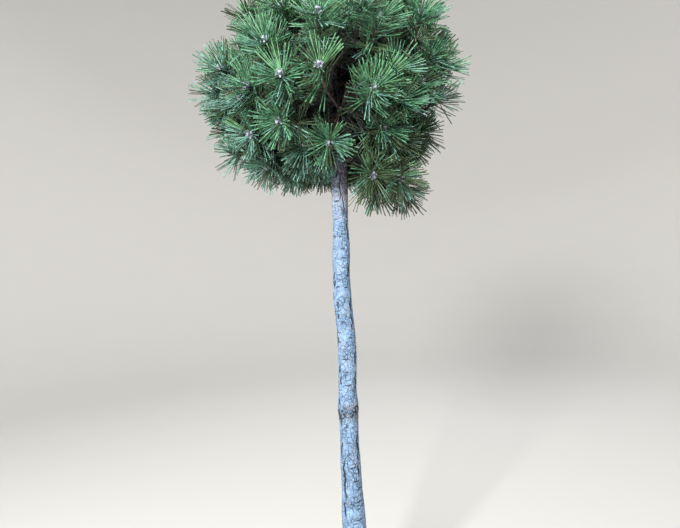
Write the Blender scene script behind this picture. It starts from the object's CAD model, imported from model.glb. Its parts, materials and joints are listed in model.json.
"""The looks of a dwarf pine grown as a standard: plated bark, twigs, buds and paired needles.

The head grows round the fixed frame by the source's own rule, in millimetres, and is carried on here to
finer twigs and single needles. Meshes are made in metres. -Y is the front and +X is the right.
"""

import json
import logging
import math
from dataclasses import dataclass, field
from enum import Enum

import bpy
import numpy as np
from mathutils import Matrix

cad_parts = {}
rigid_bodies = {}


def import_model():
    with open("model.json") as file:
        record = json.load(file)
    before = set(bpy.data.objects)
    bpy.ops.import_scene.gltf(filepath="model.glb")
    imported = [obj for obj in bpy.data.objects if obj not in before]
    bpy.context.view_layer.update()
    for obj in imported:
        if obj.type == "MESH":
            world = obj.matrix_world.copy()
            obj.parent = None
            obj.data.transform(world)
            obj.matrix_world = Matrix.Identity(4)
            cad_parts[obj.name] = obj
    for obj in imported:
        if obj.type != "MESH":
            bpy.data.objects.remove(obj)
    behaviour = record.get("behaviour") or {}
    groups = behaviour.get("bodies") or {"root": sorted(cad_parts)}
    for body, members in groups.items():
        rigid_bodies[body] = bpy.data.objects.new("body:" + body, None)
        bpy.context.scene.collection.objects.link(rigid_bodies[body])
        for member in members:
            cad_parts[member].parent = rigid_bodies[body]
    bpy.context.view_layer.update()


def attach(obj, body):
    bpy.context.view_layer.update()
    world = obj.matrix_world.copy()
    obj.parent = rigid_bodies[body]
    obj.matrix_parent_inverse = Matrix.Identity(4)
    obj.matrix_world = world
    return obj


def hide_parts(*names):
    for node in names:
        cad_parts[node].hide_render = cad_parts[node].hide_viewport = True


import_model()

log = logging.getLogger("pine")

METRES = 0.001
SEED = 20177
UP = np.array([0.0, 0.0, 1.0])
FRONT = np.array([0.0, -1.0, 0.0])
WHOLE_TURN = 2 * math.pi
GOLDEN_TURN = math.pi * (3 - math.sqrt(5))
TINY = 1e-6


class Tone(Enum):
    """The greens and browns that needles are dealt out in."""

    FRESH = "fresh"
    GREEN = "green"
    DEEP = "deep"
    BLUE = "blue"
    OLD = "old"
    DEAD = "dead"


class Draws(Enum):
    """What random draws are for: each use has a source of chance of its own."""

    BOUGH = 1
    SIDE_SHOOT = 2
    BUMPS = 3
    SHOOT_NEEDLES = 4
    INNER_NEEDLES = 5
    BUDS = 6


def linear(red: int, green: int, blue: int) -> tuple[float, float, float, float]:
    """Turns a colour as seen on a screen into a base colour.

    Args:
        red: red from 0 to 255.
        green: green from 0 to 255.
        blue: blue from 0 to 255.

    Returns:
        The colour as linear red, green, blue and alpha.
    """
    shares = [c / 255 for c in (red, green, blue)]
    values = [s / 12.92 if s <= 0.04045 else ((s + 0.055) / 1.055) ** 2.4 for s in shares]
    return (*values, 1.0)


def chance(*keys: int) -> float:
    """Gives a number from 0 to 1 that depends only on the seed and the keys, as the source does.

    Args:
        keys: whole numbers.

    Returns:
        A number from 0 to 1.
    """
    modulus, step, mix, last, shift = 2147483647, 48271, 69621, 16807, 11
    state = SEED
    for key in keys:
        state = (state * step + key * mix + 1) % modulus
        state ^= state >> shift
    return ((state * last) % modulus) / modulus


def chances(draws: Draws, *keys: int) -> np.random.Generator:
    """Gives a source of chance that depends only on the seed, the keys and the use.

    Args:
        draws: what it is for.
        keys: whole numbers.

    Returns:
        The source.
    """
    return np.random.default_rng([SEED, *keys, draws.value])


def direction(azimuth: float, elevation: float) -> np.ndarray:
    """Gives the unit vector at an azimuth from the front towards the right, and an elevation.

    Args:
        azimuth: degrees from the front towards the right.
        elevation: degrees above the horizon.

    Returns:
        The unit vector.
    """
    a, e = math.radians(azimuth), math.radians(elevation)
    return np.array([math.sin(a) * math.cos(e), -math.cos(a) * math.cos(e), math.sin(e)])


def unit(vectors: np.ndarray) -> np.ndarray:
    """Gives vectors their unit length, along the last axis."""
    return vectors / np.linalg.norm(vectors, axis=-1, keepdims=True)


def smooth_route(places: list[np.ndarray], count: int) -> np.ndarray:
    """Samples a centripetal Catmull-Rom curve at even steps of its length.

    Args:
        places: the points that it passes through.
        count: how many points to give.

    Returns:
        The points on it, one a row.
    """
    fine, least = 16, 1e-3
    p = [2 * places[0] - places[1], *places, 2 * places[-1] - places[-2]]
    samples = []
    for a, b, c, d in zip(p, p[1:], p[2:], p[3:]):
        spans = [max(least, np.linalg.norm(y - x)) ** 0.5 for x, y in ((a, b), (b, c), (c, d))]
        t = np.cumsum([0, *spans])
        s = np.linspace(t[1], t[2], fine)[:, None]
        ab, bc, cd = ((y * (s - t0) + x * (t1 - s)) / (t1 - t0)
                      for x, y, t0, t1 in ((a, b, t[0], t[1]), (b, c, t[1], t[2]), (c, d, t[2], t[3])))
        abc = (bc * (s - t[0]) + ab * (t[2] - s)) / (t[2] - t[0])
        bcd = (cd * (s - t[1]) + bc * (t[3] - s)) / (t[3] - t[1])
        samples.append((bcd * (s - t[1]) + abc * (t[2] - s)) / (t[2] - t[1]))
    line = np.concatenate(samples)
    run = np.concatenate([[0], np.cumsum(np.linalg.norm(np.diff(line, axis=0), axis=1))])
    at = np.linspace(0, run[-1], count)
    return np.stack([np.interp(at, run, line[:, k]) for k in range(3)], axis=1)


def half_turn(angles: np.ndarray) -> np.ndarray:
    """Brings angles to between minus and plus half a turn."""
    return (angles + math.pi) % WHOLE_TURN - math.pi


def evenly_round(count: int) -> np.ndarray:
    """Gives as many angles as asked for, evenly round a turn from 0."""
    return np.arange(count) * 2 * math.pi / count


def square_to(side: np.ndarray, rise: np.ndarray, turns: np.ndarray) -> np.ndarray:
    """Gives unit vectors at angles in the plane of two.

    Args:
        side: the unit vector at angle 0.
        rise: the unit vector at a quarter turn, or one for each angle.
        turns: the angles.

    Returns:
        The unit vectors, one a row.
    """
    return np.cos(turns)[:, None] * side + np.sin(turns)[:, None] * rise


def side_vectors(along: np.ndarray) -> tuple[np.ndarray, np.ndarray]:
    """Gives two unit vectors square to one vector and to each other.

    Args:
        along: a unit vector.

    Returns:
        The two vectors, so that the first, the second and along are right-handed.
    """
    steep = 0.9
    helper = UP if abs(along[2]) < steep else np.array([1.0, 0.0, 0.0])
    side = unit(np.cross(helper, along))
    return side, np.cross(along, side)


class Shell:
    """Gathers the corners and faces of many closed shapes for one mesh."""

    def __init__(self) -> None:
        """Starts with nothing in it."""
        self.corners: list[np.ndarray] = []
        self.faces: list[list[int]] = []
        self.count = 0

    def add(self, corners: np.ndarray, faces: list[list[int]]) -> None:
        """Takes in one shape.

        Args:
            corners: its corners, one a row, in millimetres.
            faces: its faces, as places in that list.
        """
        self.corners.append(corners)
        self.faces.extend([[i + self.count for i in face] for face in faces])
        self.count += len(corners)

    def grid(self, rings: np.ndarray) -> None:
        """Takes in a closed tube, given as rings of corners.

        Args:
            rings: an array of rings, sides and 3 coordinates; the sides run anticlockwise as seen from the
                far end.
        """
        count, sides, _ = rings.shape
        ends = [rings[0].mean(axis=0), rings[-1].mean(axis=0)]
        faces = []
        for i in range(count - 1):
            a, b = i * sides, (i + 1) * sides
            faces += [[a + j, a + (j + 1) % sides, b + (j + 1) % sides, b + j] for j in range(sides)]
        near, far, last = count * sides, count * sides + 1, (count - 1) * sides
        faces += [[near, (j + 1) % sides, j] for j in range(sides)]
        faces += [[far, last + j, last + (j + 1) % sides] for j in range(sides)]
        self.add(np.concatenate([rings.reshape(-1, 3), ends]), faces)

    def tube(self, route: np.ndarray, radii: np.ndarray, sides: int) -> None:
        """Takes in a closed tube along a route.

        Args:
            route: the points of its middle line, one a row.
            radii: its radius at each point, or at each point and side.
            sides: how many sides it has.
        """
        ways = unit(np.gradient(route, axis=0))
        side = side_vectors(ways[0])[0]
        turns = evenly_round(sides)
        radii = np.broadcast_to(radii.reshape(len(route), -1), (len(route), sides))
        rings = np.empty((len(route), sides, 3))
        for i, (place, way) in enumerate(zip(route, ways)):
            side = unit(side - way * (side @ way))
            rings[i] = place + square_to(side, np.cross(way, side), turns) * radii[i][:, None]
        self.grid(rings)

    def piece(self, name: str, material: bpy.types.Material, **values: np.ndarray) -> bpy.types.Object:
        """Makes the mesh object, in metres.

        Args:
            name: the piece's name.
            material: its material.
            values: numbers for each corner, stored as attributes of those names.

        Returns:
            The object.
        """
        mesh = bpy.data.meshes.new(name)
        mesh.from_pydata(np.concatenate(self.corners) * METRES, [], self.faces)
        for label, numbers in values.items():
            attribute = mesh.attributes.new(label, "FLOAT", "POINT")
            attribute.data.foreach_set("value", numbers.astype(np.float32))
        mesh.shade_smooth()
        mesh.materials.append(material)
        made = bpy.data.objects.new(name, mesh)
        bpy.context.scene.collection.objects.link(made)
        return made


@dataclass(frozen=True)
class Pattern:
    """A pattern of noise in patches.

    It says how many features it has in a metre, how many finer layers, which noise gives nothing and which
    the full share, what that share is, and how much faster the noise changes along each axis.
    """

    scale: float
    detail: float
    low: float
    high: float
    share: float = 1.0
    stretch: tuple = (1, 1, 1)


@dataclass(frozen=True)
class Bump:
    """How strongly a pattern tilts a surface, and how deep it counts as, in metres."""

    strength: float
    distance: float


class Bench:
    """Adds nodes to one tree and wires them up."""

    def __init__(self, tree: bpy.types.NodeTree) -> None:
        """Keeps the tree to work on.

        Args:
            tree: a material's or a geometry tree.
        """
        self.tree = tree

    def add(self, kind: str, feeds: dict | None = None, **settings: object) -> bpy.types.Node:
        """Adds a node.

        Args:
            kind: the node's type.
            feeds: what each input takes, by name or place: a value, or another node's output.
            settings: the node's own settings.

        Returns:
            The node.
        """
        node = self.tree.nodes.new(kind)
        for key, value in settings.items():
            setattr(node, key, value)
        for key, value in (feeds or {}).items():
            if isinstance(value, bpy.types.NodeSocket):
                self.tree.links.new(value, node.inputs[key])
            else:
                node.inputs[key].default_value = value
        return node

    def maths(self, operation: str, a: object, b: object) -> bpy.types.NodeSocket:
        """Adds a sum of two values.

        Args:
            operation: the Math node's operation.
            a: a number or an output.
            b: a number or an output.

        Returns:
            The result's output.
        """
        return self.add("ShaderNodeMath", {0: a, 1: b}, operation=operation).outputs[0]

    def product(self, a: object, b: object) -> bpy.types.NodeSocket:
        """Multiplies two values, each a number or an output."""
        return self.maths("MULTIPLY", a, b)

    def attribute(self, name: str) -> bpy.types.NodeSocket:
        """Reads a number that a mesh holds at each corner."""
        return self.add("ShaderNodeAttribute", attribute_name=name).outputs["Fac"]

    def noise(self, scale: float, detail: float = 3.0, stretch: tuple = (1, 1, 1)) -> bpy.types.NodeSocket:
        """Adds a noise in the object's own space.

        Args:
            scale: how many features it has in a metre.
            detail: how many finer layers it has.
            stretch: how much faster it changes along each axis.

        Returns:
            The noise's output.
        """
        place = self.add("ShaderNodeTexCoord").outputs["Object"]
        mapped = self.add("ShaderNodeMapping", {"Vector": place, "Scale": stretch}).outputs[0]
        feeds = {"Vector": mapped, "Scale": scale, "Detail": detail}
        return self.add("ShaderNodeTexNoise", feeds).outputs[0]

    def steps(self, value: bpy.types.NodeSocket, low: float, high: float) -> bpy.types.NodeSocket:
        """Maps a value from low to high on to 0 to 1, smoothly and with flat ends.

        Args:
            value: an output.
            low: what gives 0.
            high: what gives 1.

        Returns:
            The mapped value's output.
        """
        feeds = {"Value": value, "From Min": low, "From Max": high}
        return self.add("ShaderNodeMapRange", feeds, interpolation_type="SMOOTHSTEP").outputs[0]

    def pattern(self, pattern: Pattern) -> bpy.types.NodeSocket:
        """Adds a pattern of noise.

        Args:
            pattern: what it is like.

        Returns:
            The output that is 0 between its patches and its share on them.
        """
        noise = self.noise(pattern.scale, pattern.detail, pattern.stretch)
        return self.product(self.steps(noise, pattern.low, pattern.high), pattern.share)

    def mixed(self, share: object, a: object, b: object) -> bpy.types.NodeSocket:
        """Mixes two colours.

        Args:
            share: how much of the second there is.
            a: the first colour.
            b: the second colour.

        Returns:
            The mixed colour's output.
        """
        return self.add("ShaderNodeMix", {0: share, 6: a, 7: b}, data_type="RGBA").outputs[2]


class Surface(Bench):
    """The bench of a new material, with its main shader."""

    def __init__(self, name: str) -> None:
        """Starts the material.

        Args:
            name: its name.
        """
        self.material = bpy.data.materials.new(name)
        self.material.use_nodes = True
        super().__init__(self.material.node_tree)
        self.shader = self.tree.nodes["Principled BSDF"]

    def finished(self, colour: bpy.types.NodeSocket, relief: bpy.types.NodeSocket, bump: Bump,
                 roughness: float) -> bpy.types.Material:
        """Feeds the main shader.

        Args:
            colour: the base colour's output.
            relief: the output that the surface is tilted by.
            bump: how strongly it is.
            roughness: the surface's roughness.

        Returns:
            The material.
        """
        feeds = {"Strength": bump.strength, "Distance": bump.distance, "Height": relief}
        tilted = self.add("ShaderNodeBump", feeds).outputs[0]
        self.tree.links.new(colour, self.shader.inputs["Base Color"])
        self.tree.links.new(tilted, self.shader.inputs["Normal"])
        self.shader.inputs["Roughness"].default_value = roughness
        return self.material


@dataclass(frozen=True)
class NeedleFinish:
    """One tone of needle: a waxy surface in two close shades."""

    tone: Tone
    shade: tuple
    light: tuple
    roughness: float = 0.35
    patches: Pattern = Pattern(130, 3, 0.35, 0.65)
    grooves: float = 900
    bump: Bump = Bump(0.25, 0.0002)

    def material(self) -> bpy.types.Material:
        """Makes the material.

        Returns:
            The material.
        """
        surface = Surface(f"needle_{self.tone.value}")
        colour = surface.mixed(surface.pattern(self.patches), self.shade, self.light)
        return surface.finished(colour, surface.noise(self.grooves), self.bump, self.roughness)


@dataclass(frozen=True)
class BarkFinish:
    """The trunk's weathered bark: pale blue-grey plates in nets of fine cracks, and an old whorl."""

    pale: tuple = linear(134, 164, 194)
    cool: tuple = linear(114, 143, 174)
    dull: tuple = linear(94, 117, 141)
    warm: tuple = linear(154, 154, 162)
    mauve: tuple = linear(146, 140, 148)
    scar: tuple = linear(132, 128, 126)
    crack: tuple = linear(30, 34, 46)
    crackle: tuple = linear(46, 62, 88)
    roughness: float = 0.88
    clouds: Pattern = Pattern(120, 4, 0.42, 0.7, 0.55, (1, 1, 0.5))
    specks: Pattern = Pattern(700, 3, 0.56, 0.66, 0.55)
    # The fine net and the coarse one: meshes to a metre, half a crack as a share of a mesh, where it shows
    crackle_cells: float = 300
    crackle_half: float = 0.1
    crackle_patches: Pattern = Pattern(70, 3, 0.34, 0.6, 0.9)
    split_cells: float = 135
    split_half: float = 0.085
    split_patches: Pattern = Pattern(55, 3, 0.38, 0.56, 0.9)
    # The noise that bends both nets: its scale, its finer layers, and how far it moves them, in metres
    warp_scale: float = 90
    warp_detail: float = 3
    warp: float = 0.005
    crack_span: tuple = (0.1, 0.7)
    # The grain's two noises: scale and finer layers
    grains: tuple = ((500, 5), (1600, 2))
    bump: Bump = Bump(0.6, 0.0006)

    def net(self, surface: Surface, cells: float, half: float) -> bpy.types.NodeSocket:
        """Draws a net of cracks over the plates.

        Args:
            surface: the material's bench.
            cells: how many meshes of the net there are to a metre.
            half: half a crack's width, as a share of a mesh.

        Returns:
            The output that is 1 in a crack and 0 on a plate.
        """
        place = surface.add("ShaderNodeTexCoord").outputs["Object"]
        feeds = {"Vector": place, "Scale": self.warp_scale, "Detail": self.warp_detail}
        noise = surface.add("ShaderNodeTexNoise", feeds).outputs["Color"]
        feeds = {0: noise, 1: (self.warp,) * 3, 2: place}
        warped = surface.add("ShaderNodeVectorMath", feeds, operation="MULTIPLY_ADD").outputs[0]
        feeds = {"Vector": warped, "Scale": cells}
        edge = surface.add("ShaderNodeTexVoronoi", feeds, feature="DISTANCE_TO_EDGE").outputs["Distance"]
        return surface.maths("SUBTRACT", 1.0, surface.steps(edge, 0.0, half))

    def material(self) -> bpy.types.Material:
        """Makes the material.

        Returns:
            The material.
        """
        surface = Surface("trunk_bark")
        net = self.net(surface, self.crackle_cells, self.crackle_half)
        splits = self.net(surface, self.split_cells, self.split_half)
        splits = surface.product(splits, surface.pattern(self.split_patches))
        colour = surface.mixed(surface.steps(surface.attribute("plate"), 0.0, 1.0), self.cool, self.pale)
        for share, tint in (
            (surface.pattern(self.clouds), self.dull),
            (surface.attribute("warm"), self.warm),
            (surface.attribute("mauve"), self.mauve),
            (surface.attribute("scar"), self.scar),
            (surface.product(net, surface.pattern(self.crackle_patches)), self.crackle),
            (splits, self.crack),
            (surface.pattern(self.specks), self.crackle),
            (surface.steps(surface.attribute("crack"), *self.crack_span), self.crack),
        ):
            colour = surface.mixed(share, colour, tint)
        grain = surface.maths("ADD", *(surface.noise(*noise) for noise in self.grains))
        relief = surface.maths("SUBTRACT", grain, surface.maths("ADD", net, splits))
        return surface.finished(colour, relief, self.bump, self.roughness)


@dataclass(frozen=True)
class TwigFinish:
    """Rough brown-grey bark of boughs and twigs."""

    name: str
    dark: tuple
    light: tuple
    scale: float
    flakes: tuple = (4, 0.42, 0.62)
    bump: Bump = Bump(0.8, 0.0008)
    roughness: float = 0.9

    def material(self) -> bpy.types.Material:
        """Makes the material.

        Returns:
            The material.
        """
        surface = Surface(self.name)
        colour = surface.mixed(surface.pattern(Pattern(self.scale, *self.flakes)), self.dark, self.light)
        return surface.finished(colour, surface.noise(self.scale * 2), self.bump, self.roughness)


@dataclass(frozen=True)
class BudFinish:
    """Winter buds: brown scales under a crust of whitish resin."""

    resin: tuple = linear(150, 156, 172)
    scale: tuple = linear(92, 78, 76)
    crust: Pattern = Pattern(900, 3, 0.36, 0.5)
    grain: float = 1400
    bump: Bump = Bump(0.7, 0.0005)
    roughness: float = 0.5

    def material(self) -> bpy.types.Material:
        """Makes the material.

        Returns:
            The material.
        """
        surface = Surface("bud_resin")
        colour = surface.mixed(surface.pattern(self.crust), self.scale, self.resin)
        return surface.finished(colour, surface.noise(self.grain), self.bump, self.roughness)


@dataclass(frozen=True)
class TrunkShape:
    """The trunk's middle line, taper, root flare and old whorl, in millimetres."""

    # Rows of height, place from left to right and place from front to back; and rows of height and width
    line: tuple = (
        (-12, 0, 0), (200, 0.5, 2), (380, 3, 4), (480, 7.5, 2), (545, 5, 0), (650, 9, -2), (730, 12, -1),
        (815, 15, 0),
    )
    taper: tuple = (
        (-12, 50), (12, 48), (60, 43), (192, 37.5), (230, 34), (300, 30), (420, 29.5), (500, 29),
        (600, 27.5), (690, 25), (795, 25), (835, 19), (905, 8),
    )
    flare_lobes: int = 5
    flare_turn: float = 0.7
    flare_height: float = 26
    flare_width: float = 5.5
    flare_wave: float = 0.45
    whorl_height: float = 372
    whorl_half: float = 12
    whorl_swell: float = 1.6

    def middle(self, height: float) -> np.ndarray:
        """Gives the middle line's point at a height, by straight lines between the rows.

        Args:
            height: how high it is.

        Returns:
            The point.
        """
        z, x, y = np.array(self.line).T
        return np.array([np.interp(height, z, x), np.interp(height, z, y), height])

    def radius(self, height: np.ndarray) -> np.ndarray:
        """Gives the radius at a height, without the root flare.

        Args:
            height: how high it is.

        Returns:
            The radius.
        """
        z, width = np.array(self.taper).T
        swell = np.exp(-(((height - self.whorl_height) / self.whorl_half) ** 2))
        return np.interp(height, z, width) / 2 + self.whorl_swell * swell

    def flare(self, turn: np.ndarray, height: np.ndarray) -> np.ndarray:
        """Gives how far the root flare stands out.

        Args:
            turn: the azimuth from the front, in radians.
            height: how high it is.

        Returns:
            The extra radius.
        """
        lobe = 1 + self.flare_wave * np.cos(self.flare_lobes * (turn + math.pi / 2) + self.flare_turn)
        return self.flare_width * np.exp(-np.maximum(0, height) / self.flare_height) * lobe


@dataclass(frozen=True)
class Gap:
    """A gap among the needles, seen from the front: it runs straight back from where it leaves the head."""

    # Its outline where it leaves the head: rows of height, place from left to right and half width
    outline: tuple
    # Where it begins and ends, from front to back, and how far it rises and turns aside in a millimetre
    front: float
    back: float
    rise: float
    aside: float

    def holds(self, place: np.ndarray) -> bool:
        """Tells whether a point is in it.

        Args:
            place: the point.

        Returns:
            True where it is.
        """
        depth = place[1] - self.front
        height = place[2] - self.rise * depth
        z, x, half = np.array(self.outline).T
        if place[1] > self.back or not z[0] < height < z[-1]:
            return False
        return abs(place[0] - np.interp(height, z, x) - self.aside * depth) < np.interp(height, z, half)


@dataclass
class Shoot:
    """One shoot: where it leaves its twig, where its needles begin and where its bud is."""

    key: int
    leaves: np.ndarray
    foot: np.ndarray
    bud: np.ndarray
    tone: Tone
    is_side: bool = False

    @property
    def points(self) -> np.ndarray:
        """The unit vector from its foot to its bud."""
        return unit(self.bud - self.foot)


@dataclass
class Bough:
    """One bough: its way out from the fork, and the shoots of the mass that it carries."""

    index: int
    name: str
    azimuth: float
    elevation: float
    reach: float
    turn: float
    tone: Tone
    axis: np.ndarray = field(init=False)
    # How far from the fork its mass begins, and where that mass's stem ends
    entry: float = field(init=False)
    hub: np.ndarray = field(init=False)
    shoots: list[Shoot] = field(default_factory=list)

    def __post_init__(self) -> None:
        """Works out its axis."""
        self.axis = direction(self.azimuth, self.elevation)


@dataclass
class Plan:
    """Where boughs, stems, twigs and shoots go, by the source's rule, in millimetres."""

    trunk: TrunkShape
    # Where the boughs part, and the middle and half sizes of the round head
    fork: np.ndarray = field(default_factory=lambda: np.array([15.0, 0.0, 815.0]))
    centre: np.ndarray = field(default_factory=lambda: np.array([4.0, 0.0, 892.0]))
    half: np.ndarray = field(default_factory=lambda: np.array([212.0, 212.0, 185.0]))
    # Boughs: name, azimuth, elevation, reach as a share of the head's, turn of the whorls, and tone
    table: tuple = (
        ("front_low", -53, -34, 0.88, 36, Tone.BLUE),
        ("left_front_low", -59, -7, 1.02, 12, Tone.BLUE),
        ("left_low", -85, -9, 1.11, 24, Tone.BLUE),
        ("right_droop", 80, -49, 1.6, 60, Tone.DEEP),
        ("right_low", 76, -19, 1.06, 30, Tone.DEEP),
        ("back_right_low", 138, -22, 1.02, 15, Tone.DEEP),
        ("back_left_low", -142, -20, 1.02, 51, Tone.GREEN),
        ("front_left", -26, 8, 1.03, 39, Tone.GREEN),
        ("left_front", -74, 16, 1.06, 48, Tone.BLUE),
        ("left", -96, 32, 1.06, 9, Tone.GREEN),
        ("front_right", 3, 1, 1.03, 69, Tone.GREEN),
        ("right_front", 44, 5, 0.97, 36, Tone.GREEN),
        ("right", 87, 16, 1.07, 45, Tone.GREEN),
        ("right_back", 111, 11, 1.0, 54, Tone.GREEN),
        ("back", 158, 16, 1.02, 69, Tone.GREEN),
        ("back_left", -167, 9, 0.99, 33, Tone.DEEP),
        ("left_back", -130, 12, 1.01, 9, Tone.GREEN),
        ("front_high", -6, 31, 1.04, 39, Tone.GREEN),
        ("right_high", 46, 34, 1.05, 36, Tone.GREEN),
        ("left_high", -32, 50, 0.91, 51, Tone.FRESH),
        ("right_back_high", 93, 55, 1.01, 60, Tone.GREEN),
        ("back_high", 166, 47, 1.0, 9, Tone.FRESH),
        ("left_back_high", -91, 57, 1.0, 15, Tone.GREEN),
        ("top", 0, 90, 0.97, 9, Tone.FRESH),
    )
    entry_least: float = 50
    entry_share: float = 0.37
    # Whorls: how many shoots, how far off the axis, and how far turned ahead as a share of the spacing
    whorls: tuple = ((1, 2, 0), (5, 18, 0), (5, 31, 0.5))
    wander_bearing: float = 0.55
    wander_off_deg: float = 5
    wander_reach: float = 0.06
    keys_for_each: int = 20
    overhang: float = 42
    rounding: float = 0.12
    half_deg: float = 32
    shoot_length: float = 46
    shoot_share: float = 0.6
    shoot_radius: float = 3.2
    shoot_along: float = 0.35
    # How much shoots turn up: heights of their unit vectors, and the share of upright that each adds
    turn_heights: tuple = (-0.4, 0.1)
    turn_ups: tuple = (0.12, 0.65)
    # How much they lean to the light in front: the same for their unit vectors' places from front to back
    lean_places: tuple = (-0.5, 0.35)
    lean_fronts: tuple = (0.7, 0.0)
    hub_share: float = 0.42
    twig_first: float = 0.25
    twig_last: float = 0.95
    twig_spacing: float = 1.1
    twig_stagger: float = 0.15
    steepest_deg: float = -60
    clearance: float = 0.3
    space_margin: float = 1.6
    trunk_margin: float = 3
    beyond_entry: float = 6
    pull_step: float = 0.1
    # Where no shoot grows: azimuth, elevation and half width in degrees
    openings: tuple = (
        (0, -2, 11), (62, -1, 9), (-12, -9, 13), (10, -6, 9), (80, 6, 9), (97, 13, 7), (-43, -5, 5),
        (-15, 15, 5),
    )
    # The dark gap in the head, and the one before the trunk's upper end
    gaps: tuple = (
        Gap(((764, 2, 4), (778, 12, 6), (796, 15, 7), (815, 16, 6), (838, 19, 3)), -205, -60, 0.39, 0.02),
        Gap(((664, 14, 8), (700, 15, 8), (712, 17, 6), (718, 18, 4)), -205, -12, 0.2, 0.015),
    )
    boughs: list[Bough] = field(default_factory=list)
    top: Bough = field(init=False)

    def __post_init__(self) -> None:
        """Grows the whole plan."""
        for index, row in enumerate(self.table):
            bough = Bough(index, *row)
            share = self.entry_share * self.head_reach(bough.axis) * bough.reach
            bough.entry = max(self.entry_least, share)
            self.boughs.append(bough)
        self.top = self.boughs[-1]
        for bough in self.boughs:
            self.deal_shoots(bough)
            self.join_to_stem(bough)

    def head_reach(self, along: np.ndarray) -> float:
        """Gives how far the round head reaches from the fork along a unit vector.

        Args:
            along: the unit vector.

        Returns:
            The distance.
        """
        start, step = (self.fork - self.centre) / self.half, along / self.half
        a, b, c = step @ step, start @ step, start @ start - 1
        return (-b + math.sqrt(b * b - a * c)) / a

    def at(self, bough: Bough, distance: float) -> np.ndarray:
        """Gives the point on a bough's axis at a distance from the fork."""
        return self.fork + bough.axis * distance

    def nearest(self, along: np.ndarray) -> Bough:
        """Gives the bough whose axis is nearest to a unit vector from the fork."""
        return max(self.boughs, key=lambda bough: bough.axis @ along)

    def is_opening(self, along: np.ndarray) -> bool:
        """Tells whether a unit vector from the fork looks out through an opening of the head.

        Args:
            along: the unit vector.

        Returns:
            True where it does.
        """
        return any(
            direction(azimuth, elevation) @ along > math.cos(math.radians(half))
            for azimuth, elevation, half in self.openings
        )

    def in_gap(self, place: np.ndarray) -> bool:
        """Tells whether a point is in one of the gaps that are seen from the front."""
        return any(gap.holds(place) for gap in self.gaps)

    def clear_of_trunk(self, place: np.ndarray, margin: float) -> bool:
        """Tells whether a point is a margin away from the trunk.

        Args:
            place: the point.
            margin: the least distance to the bark.

        Returns:
            True where it is clear.
        """
        away = np.linalg.norm((place - self.trunk.middle(place[2]))[:2])
        return place[2] > self.fork[2] + self.top.entry or away > self.trunk.radius(place[2]) + margin

    def in_space(self, bough: Bough, place: np.ndarray, margin: float) -> bool:
        """Tells whether a point is in a bough's own space.

        Args:
            bough: the bough.
            place: the point.
            margin: the least distance to the walls of that space.

        Returns:
            True where it is.
        """
        out = place - self.fork
        if out @ bough.axis < bough.entry + self.clearance + margin:
            return False
        own = all(other is bough or out @ unit(bough.axis - other.axis) > margin for other in self.boughs)
        return own and self.clear_of_trunk(place, self.trunk_margin)

    def pulled_in(self, bough: Bough, place: np.ndarray, margin: float) -> np.ndarray | None:
        """Moves a point towards a bough's axis until it is in the bough's space.

        Args:
            bough: the bough.
            place: the point.
            margin: the least distance to the walls of that space.

        Returns:
            The moved point, or None where there is no room.
        """
        depth = (place - self.fork) @ bough.axis
        on_axis = self.at(bough, max(depth, bough.entry + self.beyond_entry))
        share = 0.0
        while share <= 1:
            moved = place + (on_axis - place) * share
            if self.in_space(bough, moved, margin):
                return moved
            share += self.pull_step
        return None

    def shoot_toward(self, bough: Bough, key: int, along: np.ndarray, angle: float) -> Shoot | None:
        """Makes the shoot whose bud lies along a unit vector from the fork.

        Args:
            bough: the bough that carries it.
            key: its number.
            along: the unit vector.
            angle: how far that is from the bough's axis, in radians.

        Returns:
            The shoot, or None where there is no room.
        """
        rounding = 1 - self.rounding * (angle / math.radians(self.half_deg)) ** 2
        wander = 1 + self.wander_reach * (chance(key, 3) - 0.5)
        reach = self.head_reach(along) * bough.reach * rounding * wander
        end = self.fork + along * (reach - self.overhang)
        outward = unit((end - self.centre) / self.half / self.half)
        turn_up = np.interp(along[2], self.turn_heights, self.turn_ups)
        lean = np.interp(along[1], self.lean_places, self.lean_fronts)
        points = unit(outward + (along - outward) * self.shoot_along + UP * turn_up + FRONT * lean)
        room = (end - self.fork) @ bough.axis - bough.entry
        length = min(self.shoot_length, self.shoot_share * room)
        margin = self.space_margin + self.shoot_radius
        foot = self.pulled_in(bough, end - points * length, margin)
        bud = self.pulled_in(bough, end, margin)
        if foot is None or bud is None:
            return None
        return Shoot(key, foot, foot, bud, bough.tone)

    def deal_shoots(self, bough: Bough) -> None:
        """Deals a bough its leader and its whorls of shoots.

        Args:
            bough: the bough.
        """
        side = direction(bough.azimuth + 90, 0)
        rise = np.cross(side, bough.axis)
        key = bough.index * self.keys_for_each
        for count, off_deg, ahead in self.whorls:
            for j in range(count):
                key += 1
                place = (j + ahead + self.wander_bearing * (chance(key, 1) - 0.5)) / count
                bearing = WHOLE_TURN * place + math.radians(bough.turn)
                angle = math.radians(off_deg + self.wander_off_deg * (chance(key, 2) - 0.5))
                across = side * math.cos(bearing) + rise * math.sin(bearing)
                along = bough.axis * math.cos(angle) + across * math.sin(angle)
                steep = along[2] < math.sin(math.radians(self.steepest_deg))
                if steep or self.is_opening(along) or self.nearest(along) is not bough:
                    continue
                shoot = self.shoot_toward(bough, key, along, angle)
                if shoot is not None:
                    bough.shoots.append(shoot)

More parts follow.
